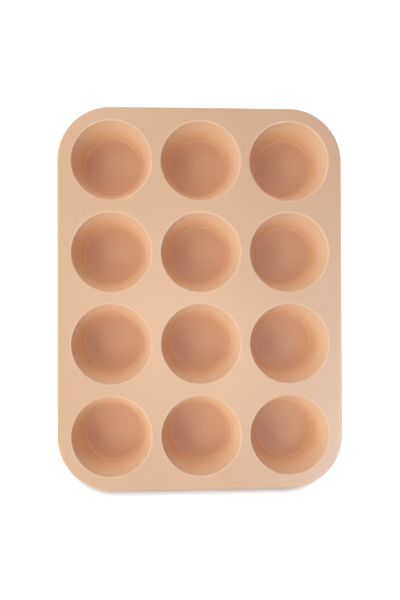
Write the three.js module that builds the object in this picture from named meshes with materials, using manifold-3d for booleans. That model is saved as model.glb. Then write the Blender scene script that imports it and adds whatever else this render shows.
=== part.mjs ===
// Silicone muffin mould: a flat deck that carries a grid of tapered cups.
// Millimetres, +Z up. The mould lies on its cup feet, and the origin is under its middle.
// +X runs along a row of cups and +Y along a column, with row 1 at the +Y end.
import * as THREE from 'three';
import { mergeVertices } from 'three/addons/utils/BufferGeometryUtils.js';
import Module from 'manifold-3d';

// Grid of cups
const ROWS = 4;
const COLUMNS = 3;
const COLUMN_WEB = 2.6; // deck left between neighbouring collars of a row
const ROW_WEB = 4.8; // deck left between neighbouring collars of a column
const RIM_WIDTH = 8.8; // deck left outside the outer collars

// Deck
const DECK_THICKNESS = 2.5;
const EDGE_RADIUS = 0.8; // rounding of the outer edge, above and below

// One cup, measured inside where nothing else is said
const MOUTH_DIAMETER = 69.5; // at the deck's top face
const FLOOR_DIAMETER = 52; // where the wall would meet the floor
const CUP_DEPTH = 30; // from the deck's top face to the floor
const WALL_THICKNESS = 2.1; // measured level
const FLOOR_THICKNESS = 2;
const COLLAR_WIDTH = 0.65; // level ring of the cup outside its wall, flush with the deck
const LIP_RADIUS = 1.4; // rounding of the mouth
const CORNER_RADIUS = 1.2; // inside, between the wall and the floor
const FOOT_RADIUS = 2; // outside, between the wall and the foot
const ROOT_RADIUS = 1.2; // outside, between the wall and the deck's underside
const FLOOR_LAND = 1; // level ring of floor that stays with the wall

// Gap between the zones of the moulding
const SEAM = 0.3;

// Facets of the round forms
const ROUND_SEGMENTS = 32;
const FILLET_STEPS = 2;

// Sizes that follow from the ones above
const mouthRadius = MOUTH_DIAMETER / 2;
const floorRadius = FLOOR_DIAMETER / 2;
const wallSlope = (mouthRadius - floorRadius) / CUP_DEPTH;
const height = FLOOR_THICKNESS + CUP_DEPTH;
const deckUnderside = height - DECK_THICKNESS;
const collarRadius = mouthRadius + WALL_THICKNESS + COLLAR_WIDTH;
const holeRadius = collarRadius + SEAM;
const columnPitch = 2 * holeRadius + COLUMN_WEB;
const rowPitch = 2 * holeRadius + ROW_WEB;
const deckCornerRadius = holeRadius + RIM_WIDTH; // concentric with the corner cups
const deckWidth = (COLUMNS - 1) * columnPitch + 2 * deckCornerRadius;
const deckLength = (ROWS - 1) * rowPitch + 2 * deckCornerRadius;
const cornerReach = CORNER_RADIUS * Math.tan((Math.PI / 2 - Math.atan(wallSlope)) / 2);
const floorBoreRadius = floorRadius - cornerReach - FLOOR_LAND;
const padRadius = floorBoreRadius - SEAM;

const wasm = await Module();
wasm.setup();

// Radius of the cup's outer wall face at a height
function outerRadius(z) {
  return floorRadius + (z - FLOOR_THICKNESS) * wallSlope + WALL_THICKNESS;
}

// Closed outline whose corners, given as [x, y, radius], are rounded by short arcs
function roundedOutline(corners) {
  const points = [];
  corners.forEach(([x, y, radius], i) => {
    const corner = new THREE.Vector2(x, y);
    if (!radius) {
      points.push(corner);
      return;
    }
    const before = corners[(i + corners.length - 1) % corners.length];
    const after = corners[(i + 1) % corners.length];
    const toBefore = new THREE.Vector2(before[0], before[1]).sub(corner).normalize();
    const toAfter = new THREE.Vector2(after[0], after[1]).sub(corner).normalize();
    const halfAngle = Math.acos(toBefore.dot(toAfter)) / 2;
    const bisector = toBefore.clone().add(toAfter).normalize();
    const centre = corner.clone().addScaledVector(bisector, radius / Math.sin(halfAngle));
    const reach = radius / Math.tan(halfAngle);
    const first = corner.clone().addScaledVector(toBefore, reach).sub(centre);
    const last = corner.clone().addScaledVector(toAfter, reach).sub(centre);
    const sweep = Math.atan2(first.cross(last), first.dot(last));
    for (let step = 0; step <= FILLET_STEPS; step += 1) {
      const turn = (sweep * step) / FILLET_STEPS;
      points.push(first.clone().rotateAround(new THREE.Vector2(), turn).add(centre));
    }
  });
  return points;
}

function welded(geometry) {
  geometry.deleteAttribute('normal');
  geometry.deleteAttribute('uv');
  return mergeVertices(geometry);
}

function toManifold(geometry) {
  const solid = welded(geometry);
  return new wasm.Manifold(
    new wasm.Mesh({
      numProp: 3,
      vertProperties: Float32Array.from(solid.attributes.position.array),
      triVerts: Uint32Array.from(solid.index.array),
    }),
  );
}

function fromManifold(manifold) {
  const mesh = manifold.getMesh();
  const geometry = new THREE.BufferGeometry();
  geometry.setAttribute('position', new THREE.BufferAttribute(mesh.vertProperties, mesh.numProp));
  geometry.setIndex(new THREE.BufferAttribute(mesh.triVerts, 1));
  return geometry;
}

// Deck: a rounded rectangle with a soft edge and one hole for each cup
function deckGeometry(centres) {
  const halfWidth = deckWidth / 2;
  const halfLength = deckLength / 2;
  const radius = deckCornerRadius;
  const outline = new THREE.Shape();
  outline.absarc(halfWidth - radius, halfLength - radius, radius, 0, Math.PI / 2);
  outline.absarc(radius - halfWidth, halfLength - radius, radius, Math.PI / 2, Math.PI);
  outline.absarc(radius - halfWidth, radius - halfLength, radius, Math.PI, 1.5 * Math.PI);
  outline.absarc(halfWidth - radius, radius - halfLength, radius, 1.5 * Math.PI, 2 * Math.PI);
  const plate = new THREE.ExtrudeGeometry(outline, {
    depth: DECK_THICKNESS - 2 * EDGE_RADIUS,
    bevelThickness: EDGE_RADIUS,
    bevelSize: EDGE_RADIUS,
    bevelOffset: -EDGE_RADIUS,
    bevelSegments: FILLET_STEPS,
    curveSegments: ROUND_SEGMENTS / 4,
  });
  plate.translate(0, 0, deckUnderside + EDGE_RADIUS);
  let deck = toManifold(plate);
  for (const { x, y } of centres) {
    const drill = new THREE.CylinderGeometry(
      holeRadius, holeRadius, 3 * DECK_THICKNESS, ROUND_SEGMENTS,
    );
    drill.rotateX(Math.PI / 2).translate(x, y, deckUnderside + DECK_THICKNESS / 2);
    deck = deck.subtract(toManifold(drill));
  }
  return fromManifold(deck);
}

// Cup: lip, collar, tapered wall and the foot ring that it rests on
function cupGeometry() {
  const outline = roundedOutline([
    [floorBoreRadius, 0],
    [outerRadius(0), 0, FOOT_RADIUS],
    [outerRadius(deckUnderside), deckUnderside, ROOT_RADIUS],
    [collarRadius, deckUnderside],
    [collarRadius, height],
    [mouthRadius, height, LIP_RADIUS],
    [floorRadius, FLOOR_THICKNESS, CORNER_RADIUS],
    [floorBoreRadius, FLOOR_THICKNESS],
  ]);
  outline.push(outline[0].clone());
  return welded(new THREE.LatheGeometry(outline, ROUND_SEGMENTS).rotateX(Math.PI / 2));
}

// Floor of a cup: the disc that is pushed up to turn the bake out
function floorGeometry() {
  const disc = new THREE.CylinderGeometry(padRadius, padRadius, FLOOR_THICKNESS, ROUND_SEGMENTS);
  return welded(disc.rotateX(Math.PI / 2).translate(0, 0, FLOOR_THICKNESS / 2));
}

function siliconeMesh(name, geometry, color) {
  geometry.computeVertexNormals();
  const material = new THREE.MeshStandardMaterial({ color, roughness: 0.55, metalness: 0 });
  const mesh = new THREE.Mesh(geometry, material);
  mesh.name = name;
  return mesh;
}

const cups = [];
for (let row = 0; row < ROWS; row += 1) {
  for (let column = 0; column < COLUMNS; column += 1) {
    cups.push({
      label: `r${row + 1}c${column + 1}`,
      x: (column - (COLUMNS - 1) / 2) * columnPitch,
      y: ((ROWS - 1) / 2 - row) * rowPitch,
    });
  }
}

const mould = new THREE.Group();
mould.name = 'silicone_muffin_mould';
mould.add(siliconeMesh('deck', deckGeometry(cups), 0xe6c1a4));
for (const { label, x, y } of cups) {
  mould.add(siliconeMesh(`cup_${label}`, cupGeometry().translate(x, y, 0), 0xe2b795));
  mould.add(siliconeMesh(`cup_floor_${label}`, floorGeometry().translate(x, y, 0), 0xdcae8a));
}

export default mould;
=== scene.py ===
import math

import bmesh
import bpy
from mathutils import Matrix, Vector


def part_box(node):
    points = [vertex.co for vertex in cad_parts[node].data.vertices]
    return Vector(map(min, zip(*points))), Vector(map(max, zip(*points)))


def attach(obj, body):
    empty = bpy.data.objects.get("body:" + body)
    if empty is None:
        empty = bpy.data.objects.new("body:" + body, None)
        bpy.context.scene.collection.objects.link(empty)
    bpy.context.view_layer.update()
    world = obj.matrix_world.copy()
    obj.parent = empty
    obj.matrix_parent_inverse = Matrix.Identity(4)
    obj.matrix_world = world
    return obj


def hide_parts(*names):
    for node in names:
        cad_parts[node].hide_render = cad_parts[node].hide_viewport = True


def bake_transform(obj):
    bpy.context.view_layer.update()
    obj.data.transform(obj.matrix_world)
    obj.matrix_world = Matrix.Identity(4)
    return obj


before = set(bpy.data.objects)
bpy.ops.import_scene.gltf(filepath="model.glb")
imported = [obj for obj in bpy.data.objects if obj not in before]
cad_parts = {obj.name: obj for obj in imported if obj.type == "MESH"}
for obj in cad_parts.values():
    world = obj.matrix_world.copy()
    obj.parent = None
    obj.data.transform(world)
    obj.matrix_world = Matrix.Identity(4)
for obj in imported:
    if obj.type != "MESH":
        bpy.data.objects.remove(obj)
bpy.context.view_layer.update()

MM = 0.001

# Grid of cups, with row 1 at the +Y end and column 1 at the -X end
ROWS = 4
COLUMNS = 3

# Deck, in metres
HEIGHT = 32 * MM
DECK_THICKNESS = 2.5 * MM
EDGE_RADIUS = 0.8 * MM
CORNER_RADIUS = 46.6 * MM

# Cups, with the wall's thickness measured level
MOUTH_RADIUS = 34.75 * MM
FLOOR_RADIUS = 26 * MM
FLOOR_THICKNESS = 2 * MM
WALL_THICKNESS = 2.1 * MM
COLLAR_RADIUS = 37.5 * MM
LIP_RADIUS = 1.4 * MM
LIP_EDGE = 1.2 * MM
FLOOR_CORNER_RADIUS = 1.2 * MM
FOOT_RADIUS = 2 * MM
ROOT_RADIUS = 1.2 * MM

# Inner layer of a cup: its thickness in the wall, measured level, and in the floor, and the gap behind it
LAYER_WALL = 0.7 * MM
LAYER_FLOOR = 0.6 * MM
LAYER_GAP = 0.04 * MM

# Sizes that follow from the ones above
DECK_UNDERSIDE = HEIGHT - DECK_THICKNESS
CUP_DEPTH = HEIGHT - FLOOR_THICKNESS
WALL_SLOPE = (MOUTH_RADIUS - FLOOR_RADIUS) / CUP_DEPTH
OUTER_WALL_DROP = WALL_THICKNESS / WALL_SLOPE
LIP_REACH = LIP_RADIUS / math.tan((math.pi / 2 + math.atan(WALL_SLOPE)) / 2)

# Faces of the meshes
ROUND_STEPS = 96
FILLET_STEPS = 6
CORNER_STEPS = 24
WALL_CUTS = 23
FLOOR_CUTS = 5
LONG_WALL = 10 * MM
LONG_FLOOR = 15 * MM
RIM_STRIP = 3 * MM
COLLAR_BAND = 1.3 * MM
OUTLINE_MARGIN = 0.5 * MM
LIP_MARGIN = 0.02 * MM
MERGE_DISTANCE = 1e-6
AXIS_MARGIN = 1e-7
RIM_CREASE = math.radians(57)
SHARP_ANGLE = math.radians(40)

# Colours of the silicone, as linear values. Only the deck colour is the silicone's own; the others paint
# light and shade onto it
DECK_COLOUR = (0.78, 0.49, 0.32, 1)
# Wall: the silicone colour lightened with painted light, standing in for light that passes through the thin
# silicone
WALL_WITH_PAINTED_LIGHT = (0.84, 0.562, 0.366, 1)
# Low wall: painted shade, darker and redder than the wall above, standing in for the reddish shade low in a
# cup
LOW_WALL_WITH_PAINTED_SHADE = (0.825, 0.495, 0.292, 1)
# Floor's corner: a painted highlight, a lighter ring where the wall meets the floor
CORNER_PAINTED_HIGHLIGHT = (0.86, 0.56, 0.36, 1)
# Floor: the silicone colour darkened with painted shade, as less light reaches the bottom of a cup
FLOOR_WITH_PAINTED_SHADE = (0.757, 0.438, 0.275, 1)
# Lip: a painted highlight, a lighter ring round each cup's mouth
LIP_PAINTED_HIGHLIGHT = (0.86, 0.565, 0.38, 1)

# Colours between the lip of a cup, at a depth of 0, and its floor, at a depth of 1, which paint light and
# shade down the cup: light through the wall, redder shade low on it, a highlight at the floor's corner and
# shade on the floor
PAINTED_DEPTH_COLOURS = (
    (0.1, WALL_WITH_PAINTED_LIGHT),
    (0.955, LOW_WALL_WITH_PAINTED_SHADE),
    (0.975, CORNER_PAINTED_HIGHLIGHT),
    (0.988, CORNER_PAINTED_HIGHLIGHT),
    (0.9955, FLOOR_WITH_PAINTED_SHADE),
)

# Finish of the silicone
DECK_ROUGHNESS = 0.34
FLOOR_ROUGHNESS = 0.55
DECK_GLOSS = 0.5
CUP_GLOSS = 0.28
SILICONE_IOR = 1.41

# Noise in the skin, each as its scale per metre and its detail, with what it varies
NOISE_SPAN = (0.3, 0.7)
CLOUD_NOISE = (14, 2)
CLOUD_TONE = (0.985, 1.015)
MOTTLE_NOISE = (160, 3)
MOTTLE_TONE = (0.992, 1.008)
WEAR_NOISE = (45, 3)
WEAR_ROUGHNESS = (-0.03, 0.03)
GRAIN_NOISE = (1500, 2)
GRAIN_STRENGTH = 0.35
GRAIN_HEIGHT = 0.02 * MM
SWELL_NOISE = (30, 1)
SWELL_STRENGTH = 0.5
SWELL_HEIGHT = 0.15 * MM

# Stage and room
WHITE = (1, 1, 1, 1)
ROOM_LIGHT = (0.385, 0.322, 0.33, 1)
STAGE_HALF = 3
STAGE_COLOUR = (0.85, 0.9, 0.9, 1)
STAGE_ROUGHNESS = 0.9
STAGE_GLOW = 0.15

# Softboxes, each as its name, azimuth and power
SOFTBOXES = (
    ("near_left_softbox", 240, 8.4),
    ("left_softbox", 180, 2.1),
    ("far_left_softbox", 120, 6.1),
)
SOFTBOX_DISTANCE = 1.2
SOFTBOX_ELEVATION = 32
SOFTBOX_WIDTH = 0.8
SOFTBOX_TINT = (0.88, 0.995, 0.98)
LIGHT_AIM = Vector((0, 0, 0.03))

# Cards that show only as a sheen, each as its name, place, size, power and tint
SHEEN_CARDS = (
    ("rim_card", Vector((0.5, -0.16, 0.632)), (0.8, 0.15), 11, (0.6, 0.83, 1)),
    ("middle_card", Vector((0.03, -0.04, 0.632)), (0.3, 0.4), 1.5, (1, 0.96, 0.8)),
)

# Lamp for the floor and its shadow
FLOOR_LIGHT = 3.3
FLOOR_LAMP_ANGLE = 14
FLOOR_LAMP_AZIMUTH = 97
FLOOR_LAMP_ELEVATION = 68

# Camera, with its turns about Y, X and Z in degrees and its lens and sensor in millimetres
CAMERA_PLACE = (-0.0447, -0.0142, 0.5516)
CAMERA_TURN = (-2.51, 0.53, -0.17)
CAMERA_LENS = 35.71
CAMERA_SENSOR = 36
CAMERA_SHIFT = (0.04, 0.0145)

CUP_LABELS = [f"r{row + 1}c{column + 1}" for row in range(ROWS) for column in range(COLUMNS)]


def node_centre(node):
    low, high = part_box(node)
    return Vector(((low[0] + high[0]) / 2, (low[1] + high[1]) / 2, 0))


def wall_radius(z, level=0.0):
    """Radius of the cup's inner wall face at a height, moved outwards by a level distance."""
    return FLOOR_RADIUS + (z - FLOOR_THICKNESS) * WALL_SLOPE + level


# Silicone

def skin_noise(nodes, links, place, noise):
    texture = nodes.new("ShaderNodeTexNoise")
    texture.inputs["Scale"].default_value, texture.inputs["Detail"].default_value = noise
    links.new(place, texture.inputs["Vector"])
    return texture.outputs["Fac"]


def varied(nodes, links, place, noise, span):
    """Value that noise varies over a span."""
    value = nodes.new("ShaderNodeMapRange")
    value.inputs["From Min"].default_value, value.inputs["From Max"].default_value = NOISE_SPAN
    value.inputs["To Min"].default_value, value.inputs["To Max"].default_value = span
    links.new(skin_noise(nodes, links, place, noise), value.inputs["Value"])
    return value.outputs["Result"]


def raised(nodes, links, place, noise, strength, height):
    """Bump node whose height follows noise."""
    bump = nodes.new("ShaderNodeBump")
    bump.inputs["Strength"].default_value = strength
    bump.inputs["Distance"].default_value = height
    links.new(skin_noise(nodes, links, place, noise), bump.inputs["Height"])
    return bump


def mask_of(nodes, name):
    mask = nodes.new("ShaderNodeAttribute")
    mask.attribute_name = name
    return mask.outputs["Fac"]


def mixed(nodes, links, factor, first, second, blend="MIX"):
    mix = nodes.new("ShaderNodeMix")
    mix.data_type = "RGBA"
    mix.blend_type = blend
    for name, value in (("Factor", factor), ("A", first), ("B", second)):
        if isinstance(value, bpy.types.NodeSocket):
            links.new(value, mix.inputs[name])
        else:
            mix.inputs[name].default_value = value
    return mix.outputs["Result"]


def joined(nodes, links, operation, first, second, clamp=False):
    both = nodes.new("ShaderNodeMath")
    both.operation = operation
    both.use_clamp = clamp
    links.new(first, both.inputs[0])
    links.new(second, both.inputs[1])
    return both.outputs["Value"]


def painted_depth_colour(nodes, links, depth):
    """Colour from the lip down the wall to the floor of a cup, with painted light, shade and highlight."""
    ramp = nodes.new("ShaderNodeValToRGB")
    stops = ramp.color_ramp.elements
    stops[0].color = DECK_COLOUR
    stops[1].color = FLOOR_WITH_PAINTED_SHADE
    for position, colour in PAINTED_DEPTH_COLOURS:
        stops.new(position).color = colour
    links.new(depth, ramp.inputs["Fac"])
    return ramp.outputs["Color"]


def silicone_skin():
    """Node group that clouds a colour, varies a roughness and gives a fine grain on a slow swell."""
    skin = bpy.data.node_groups.new("silicone_skin", "ShaderNodeTree")
    for name, kind in (("Colour", "NodeSocketColor"), ("Roughness", "NodeSocketFloat")):
        skin.interface.new_socket(name, in_out="INPUT", socket_type=kind)
        skin.interface.new_socket(name, in_out="OUTPUT", socket_type=kind)
    skin.interface.new_socket("Normal", in_out="OUTPUT", socket_type="NodeSocketVector")
    nodes, links = skin.nodes, skin.links
    given = nodes.new("NodeGroupInput").outputs
    result = nodes.new("NodeGroupOutput").inputs
    place = nodes.new("ShaderNodeTexCoord").outputs["Object"]

    cloud = varied(nodes, links, place, CLOUD_NOISE, CLOUD_TONE)
    mottle = varied(nodes, links, place, MOTTLE_NOISE, MOTTLE_TONE)
    tone = joined(nodes, links, "MULTIPLY", cloud, mottle)
    links.new(mixed(nodes, links, 1.0, given["Colour"], tone, "MULTIPLY"), result["Colour"])

    wear = varied(nodes, links, place, WEAR_NOISE, WEAR_ROUGHNESS)
    links.new(joined(nodes, links, "ADD", given["Roughness"], wear), result["Roughness"])

    swell = raised(nodes, links, place, SWELL_NOISE, SWELL_STRENGTH, SWELL_HEIGHT)
    grain = raised(nodes, links, place, GRAIN_NOISE, GRAIN_STRENGTH, GRAIN_HEIGHT)
    links.new(swell.outputs["Normal"], grain.inputs["Normal"])
    links.new(grain.outputs["Normal"], result["Normal"])
    return skin


def silicone_material(name, skin, gloss):
    """New silicone material, with the inputs of its skin still to be set."""
    material = bpy.data.materials.new(name)
    material.use_nodes = True
    nodes, links = material.node_tree.nodes, material.node_tree.links
    shader = nodes["Principled BSDF"]
    shader.inputs["IOR"].default_value = SILICONE_IOR
    shader.inputs["Specular IOR Level"].default_value = gloss
    surface = nodes.new("ShaderNodeGroup")
    surface.node_tree = skin
    for output, socket in (("Colour", "Base Color"), ("Roughness", "Roughness"), ("Normal", "Normal")):
        links.new(surface.outputs[output], shader.inputs[socket])
    return material, surface.inputs


def deck_silicone(skin):
    material, surface = silicone_material("deck_silicone", skin, DECK_GLOSS)
    nodes, links = material.node_tree.nodes, material.node_tree.links
    # Round each mouth the lip mask lightens the deck colour into a painted highlight
    lip = mask_of(nodes, "lip_highlight")
    links.new(mixed(nodes, links, lip, DECK_COLOUR, LIP_PAINTED_HIGHLIGHT), surface["Colour"])
    surface["Roughness"].default_value = DECK_ROUGHNESS
    return material


def cup_silicone(skin):
    material, surface = silicone_material("cup_silicone", skin, CUP_GLOSS)
    nodes, links = material.node_tree.nodes, material.node_tree.links
    # Depth picks painted light and shade down the cup, and the lip mask adds a painted highlight round the
    # mouth
    depth = mask_of(nodes, "cup_depth")
    lip = mask_of(nodes, "lip_highlight")
    links.new(mixed(nodes, links, lip, painted_depth_colour(nodes, links, depth), LIP_PAINTED_HIGHLIGHT), surface["Colour"])
    satin = nodes.new("ShaderNodeMapRange")
    satin.inputs["To Min"].default_value = DECK_ROUGHNESS
    satin.inputs["To Max"].default_value = FLOOR_ROUGHNESS
    links.new(depth, satin.inputs["Value"])
    links.new(satin.outputs["Result"], surface["Roughness"])
    return material


# Cups

def profile_loop(bm, corners):
    """Closed wire in the XZ plane through corners given as radius, height and rounding."""
    verts = [bm.verts.new((radius, 0, height)) for radius, height, _ in corners]
    count = len(verts)
    for i in range(count):
        bm.edges.new((verts[i], verts[(i + 1) % count]))
    places = [vert.co.copy() for vert in verts]
    for i, (_, _, rounding) in enumerate(corners):
        if rounding == 0:
            continue
        before = (places[i - 1] - places[i]).normalized()
        after = (places[(i + 1) % count] - places[i]).normalized()
        reach = rounding / math.tan(before.angle(after) / 2)
        corner = min(bm.verts, key=lambda vert: (vert.co - places[i]).length)
        bmesh.ops.bevel(bm, geom=[corner], offset=reach, offset_type="OFFSET",
                        segments=FILLET_STEPS, profile=0.5, affect="VERTICES", material=-1)


def cut_long_edges(bm):
    """Cut the wall and floor lines of a profile so that the turned layer shades evenly."""
    walls = [e for e in bm.edges if abs(e.verts[0].co.z - e.verts[1].co.z) > LONG_WALL]
    floors = [e for e in bm.edges if abs(e.verts[0].co.x - e.verts[1].co.x) > LONG_FLOOR]
    bmesh.ops.subdivide_edges(bm, edges=walls, cuts=WALL_CUTS)
    bmesh.ops.subdivide_edges(bm, edges=floors, cuts=FLOOR_CUTS)


def turned_layer(corners):
    """Closed layer turned about Z from a profile whose first and last corners lie on the axis."""
    bm = bmesh.new()
    profile_loop(bm, corners)
    axis_edges = [e for e in bm.edges if all(v.co.x < AXIS_MARGIN for v in e.verts)]
    bmesh.ops.delete(bm, geom=axis_edges, context="EDGES")
    cut_long_edges(bm)
    bmesh.ops.spin(bm, geom=bm.verts[:] + bm.edges[:], cent=(0, 0, 0), axis=(0, 0, 1), dvec=(0, 0, 0),
                   angle=2 * math.pi, steps=ROUND_STEPS, use_merge=True)
    bmesh.ops.remove_doubles(bm, verts=bm.verts[:], dist=MERGE_DISTANCE)
    bmesh.ops.recalc_face_normals(bm, faces=bm.faces[:])
    return bm


def paint_masks(bm):
    """Store how deep each point lies in the cup, from 0 at the lip to 1 at the floor, which picks the
    painted light and shade, and where the lip is, which gets a painted highlight.

    Faces below the lip take the second material, and the others the first.
    """
    depth = bm.verts.layers.float.new("cup_depth")
    lip = bm.verts.layers.float.new("lip_highlight")
    lip_foot = HEIGHT - LIP_REACH
    for vert in bm.verts:
        radius = math.hypot(vert.co.x, vert.co.y)
        vert[depth] = min(max((HEIGHT - vert.co.z) / CUP_DEPTH, 0), 1)
        on_lip = radius < MOUTH_RADIUS + LIP_REACH + LIP_MARGIN and vert.co.z > lip_foot
        vert[lip] = 1.0 if on_lip else 0.0
    for face in bm.faces:
        below_lip = any(vert.co.z < lip_foot for vert in face.verts)
        face.material_index = 1 if below_lip else 0


def piece_from(bm, name, materials):
    mesh = bpy.data.meshes.new(name)
    bm.to_mesh(mesh)
    for polygon in mesh.polygons:
        polygon.use_smooth = True
    mesh.set_sharp_from_angle(angle=SHARP_ANGLE)
    for material in materials:
        mesh.materials.append(material)
    piece = bpy.data.objects.new(name, mesh)
    bpy.context.scene.collection.objects.link(piece)
    return piece


def inner_layer():
    """Inside of a cup: floor, wall, lip and collar, with the back of the layer behind them."""
    back_floor = FLOOR_THICKNESS - LAYER_FLOOR
    back_collar = HEIGHT - LAYER_FLOOR
    layer = turned_layer([
        (0, FLOOR_THICKNESS, 0),
        (FLOOR_RADIUS, FLOOR_THICKNESS, FLOOR_CORNER_RADIUS),
        (MOUTH_RADIUS, HEIGHT, LIP_RADIUS),
        (MOUTH_RADIUS + LIP_EDGE, HEIGHT, 0),
        (COLLAR_RADIUS, HEIGHT, 0),
        (COLLAR_RADIUS, back_collar, 0),
        (wall_radius(back_collar, LAYER_WALL), back_collar, 0),
        (wall_radius(back_floor, LAYER_WALL), back_floor, 0),
        (0, back_floor, 0),
    ])
    paint_masks(layer)
    return layer


def outer_layer():
    """Outside of a cup: foot, wall and root, up to the back of the inner layer."""
    core_floor = FLOOR_THICKNESS - LAYER_FLOOR - LAYER_GAP
    core_collar = HEIGHT - LAYER_FLOOR - LAYER_GAP
    core_level = LAYER_WALL + LAYER_GAP
    return turned_layer([
        (0, 0, 0),
        (wall_radius(0, WALL_THICKNESS), 0, FOOT_RADIUS),
        (wall_radius(DECK_UNDERSIDE, WALL_THICKNESS), DECK_UNDERSIDE, ROOT_RADIUS),
        (COLLAR_RADIUS, DECK_UNDERSIDE, 0),
        (COLLAR_RADIUS, core_collar, 0),
        (wall_radius(core_collar, core_level), core_collar, 0),
        (wall_radius(core_floor, core_level), core_floor, 0),
        (0, core_floor, 0),
    ])


def cup_pieces(deck_material, cup_material):
    """Both layers of every cup, set at each cup's centre. The outer one lies a wall's thickness outside the
    inner one.
    """
    inside = inner_layer()
    outside = outer_layer()
    pieces = []
    for label in CUP_LABELS:
        centre = node_centre(f"cup_{label}")
        for name, layer, materials, node, top in (
            ("cup_inside", inside, [deck_material, cup_material], "cup_floor", HEIGHT),
            ("cup_outside", outside, [deck_material], "cup", HEIGHT - OUTER_WALL_DROP),
        ):
            bm = layer.copy()
            bmesh.ops.translate(bm, verts=bm.verts[:], vec=centre)
            piece = piece_from(bm, f"{name}_{label}", materials)
            bm.free()
            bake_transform(piece)
            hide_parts(f"{node}_{label}")
            pieces.append(piece)
    inside.free()
    outside.free()
    return pieces


# Deck

def rounded_rectangle_edges(bm, half_width, half_length, radius):
    corners = [(-half_width, -half_length), (half_width, -half_length),
               (half_width, half_length), (-half_width, half_length)]
    verts = [bm.verts.new((x, y, HEIGHT)) for x, y in corners]
    bm.faces.new(verts)
    made = bmesh.ops.bevel(bm, geom=verts, offset=radius, offset_type="OFFSET",
                           segments=CORNER_STEPS, profile=0.5, affect="VERTICES", material=-1)
    touched = {face for vert in made["verts"] for face in vert.link_faces}
    rectangle = max(touched, key=lambda face: len(face.verts))
    edges = rectangle.edges[:]
    bmesh.ops.delete(bm, geom=[rectangle], context="FACES_ONLY")
    return edges


def circle_edges(bm, centre, radius):
    place = Matrix.Translation(centre + Vector((0, 0, HEIGHT)))
    made = bmesh.ops.create_circle(bm, cap_ends=False, segments=ROUND_STEPS, radius=radius, matrix=place)
    return list(dict.fromkeys(edge for vert in made["verts"] for edge in vert.link_edges))


def on_outline(place, half_width, half_length):
    beyond_x = max(abs(place.x) - (half_width - CORNER_RADIUS), 0)
    beyond_y = max(abs(place.y) - (half_length - CORNER_RADIUS), 0)
    return math.hypot(beyond_x, beyond_y) > CORNER_RADIUS - OUTLINE_MARGIN


def deck_piece(material):
    low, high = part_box("deck")
    half_width = (high[0] - low[0]) / 2
    half_length = (high[1] - low[1]) / 2
    bm = bmesh.new()
    outline = rounded_rectangle_edges(bm, half_width, half_length, CORNER_RADIUS)
    strip = rounded_rectangle_edges(bm, half_width - RIM_STRIP, half_length - RIM_STRIP,
                                    CORNER_RADIUS - RIM_STRIP)
    bmesh.ops.bridge_loops(bm, edges=outline + strip)
    field = list(strip)
    for label in CUP_LABELS:
        centre = node_centre(f"cup_{label}")
        hole = circle_edges(bm, centre, COLLAR_RADIUS)
        band = circle_edges(bm, centre, COLLAR_RADIUS + COLLAR_BAND)
        bmesh.ops.bridge_loops(bm, edges=hole + band)
        field += band
    bmesh.ops.triangle_fill(bm, use_beauty=True, use_dissolve=False, edges=field, normal=(0, 0, 1))
    sheet = bmesh.ops.extrude_face_region(bm, geom=bm.faces[:])
    lowered = [item for item in sheet["geom"] if isinstance(item, bmesh.types.BMVert)]
    bmesh.ops.translate(bm, verts=lowered, vec=(0, 0, -DECK_THICKNESS))
    bmesh.ops.recalc_face_normals(bm, faces=bm.faces[:])
    rim = [edge for edge in bm.edges if len(edge.link_faces) == 2 and edge.calc_face_angle() > RIM_CREASE
           and all(on_outline(vert.co, half_width, half_length) for vert in edge.verts)]
    bmesh.ops.bevel(bm, geom=rim, offset=EDGE_RADIUS, offset_type="OFFSET", segments=FILLET_STEPS,
                    profile=0.5, affect="EDGES", material=-1)
    piece = piece_from(bm, "mould_deck", [material])
    bm.free()
    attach(piece, "tray")
    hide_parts("deck")
    return piece


# Stage, light and camera

def seen_directly(nodes, links):
    """1 for rays from the camera and for what gloss and glass show of the stage, else 0."""
    path = nodes.new("ShaderNodeLightPath")
    total = path.outputs["Is Camera Ray"]
    for kind in ("Is Glossy Ray", "Is Transmission Ray"):
        total = joined(nodes, links, "ADD", total, path.outputs[kind], clamp=True)
    return total


def stage_floor():
    """White paper under the mould. A little of it glows, so that its shadow stays pale."""
    bm = bmesh.new()
    bmesh.ops.create_grid(bm, x_segments=1, y_segments=1, size=STAGE_HALF)
    mesh = bpy.data.meshes.new("stage_floor")
    bm.to_mesh(mesh)
    bm.free()
    floor = bpy.data.objects.new("stage_floor", mesh)
    bpy.context.scene.collection.objects.link(floor)
    material = bpy.data.materials.new("stage_white")
    material.use_nodes = True
    nodes, links = material.node_tree.nodes, material.node_tree.links
    paper = nodes["Principled BSDF"]
    paper.inputs["Base Color"].default_value = STAGE_COLOUR
    paper.inputs["Roughness"].default_value = STAGE_ROUGHNESS
    paper.inputs["Specular IOR Level"].default_value = 0
    glow = nodes.new("ShaderNodeEmission")
    share = nodes.new("ShaderNodeMath")
    share.operation = "MULTIPLY"
    share.inputs[1].default_value = STAGE_GLOW
    links.new(seen_directly(nodes, links), share.inputs[0])
    mix = nodes.new("ShaderNodeMixShader")
    links.new(share.outputs["Value"], mix.inputs["Fac"])
    links.new(paper.outputs["BSDF"], mix.inputs[1])
    links.new(glow.outputs["Emission"], mix.inputs[2])
    links.new(mix.outputs["Shader"], nodes["Material Output"].inputs["Surface"])
    mesh.materials.append(material)
    return floor


def white_world():
    """Room that looks white and lights the mould softly, with a little warmth."""
    world = bpy.data.worlds.new("studio")
    world.use_nodes = True
    nodes, links = world.node_tree.nodes, world.node_tree.links
    room = mixed(nodes, links, seen_directly(nodes, links), ROOM_LIGHT, WHITE)
    links.new(room, nodes["Background"].inputs["Color"])
    bpy.context.scene.world = world


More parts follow.
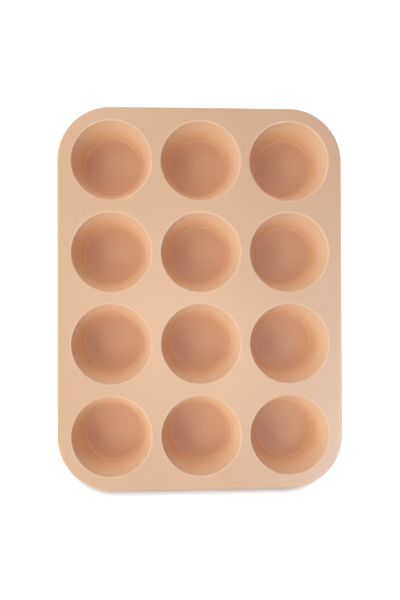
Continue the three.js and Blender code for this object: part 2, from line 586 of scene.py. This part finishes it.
def lamp_towards(name, light, place, aim, lit):
    """Place a lamp that lights only the given objects, as flags on stands would do in a studio."""
    lamp = bpy.data.objects.new(name, light)
    lamp.location = place
    lamp.rotation_euler = (aim - place).to_track_quat("-Z", "Y").to_euler()
    bpy.context.scene.collection.objects.link(lamp)
    receivers = bpy.data.collections.new(f"{name}_lit")
    for piece in lit:
        receivers.objects.link(piece)
    lamp.light_linking.receiver_collection = receivers
    return lamp


def direction(azimuth, elevation):
    """Unit vector with the azimuth counted from +X towards +Y."""
    around, up = math.radians(azimuth), math.radians(elevation)
    return Vector((math.cos(up) * math.cos(around), math.cos(up) * math.sin(around), math.sin(up)))


def softbox(name, azimuth, power, lit):
    light = bpy.data.lights.new(name, "AREA")
    light.shape = "SQUARE"
    light.size = SOFTBOX_WIDTH
    light.energy = power
    light.color = SOFTBOX_TINT
    place = LIGHT_AIM + direction(azimuth, SOFTBOX_ELEVATION) * SOFTBOX_DISTANCE
    lamp_towards(name, light, place, LIGHT_AIM, lit)


def sheen_card(name, place, size, power, tint, lit):
    light = bpy.data.lights.new(name, "AREA")
    light.shape = "RECTANGLE"
    light.size, light.size_y = size
    light.energy = power
    light.color = tint
    card = lamp_towards(name, light, place, LIGHT_AIM, lit)
    card.visible_diffuse = False


def floor_lamp(floor):
    light = bpy.data.lights.new("floor_lamp", "SUN")
    light.energy = FLOOR_LIGHT
    light.angle = math.radians(FLOOR_LAMP_ANGLE)
    place = LIGHT_AIM + direction(FLOOR_LAMP_AZIMUTH, FLOOR_LAMP_ELEVATION)
    lamp_towards("floor_lamp", light, place, LIGHT_AIM, [floor])


def camera():
    data = bpy.data.cameras.new("photo_camera")
    data.sensor_width = CAMERA_SENSOR
    data.lens = CAMERA_LENS
    data.shift_x, data.shift_y = CAMERA_SHIFT
    viewer = bpy.data.objects.new("photo_camera", data)
    turn = Matrix.Identity(4)
    for angle, axis in zip(CAMERA_TURN, "YXZ"):
        turn = turn @ Matrix.Rotation(math.radians(angle), 4, axis)
    viewer.matrix_world = Matrix.Translation(CAMERA_PLACE) @ turn
    bpy.context.scene.collection.objects.link(viewer)
    bpy.context.scene.camera = viewer


skin = silicone_skin()
deck_material = deck_silicone(skin)
cup_material = cup_silicone(skin)
mould = [deck_piece(deck_material)] + cup_pieces(deck_material, cup_material)
floor = stage_floor()
white_world()
for box in SOFTBOXES:
    softbox(*box, mould)
for card in SHEEN_CARDS:
    sheen_card(*card, mould)
floor_lamp(floor)
camera()
bpy.context.scene.view_settings.view_transform = "Standard"
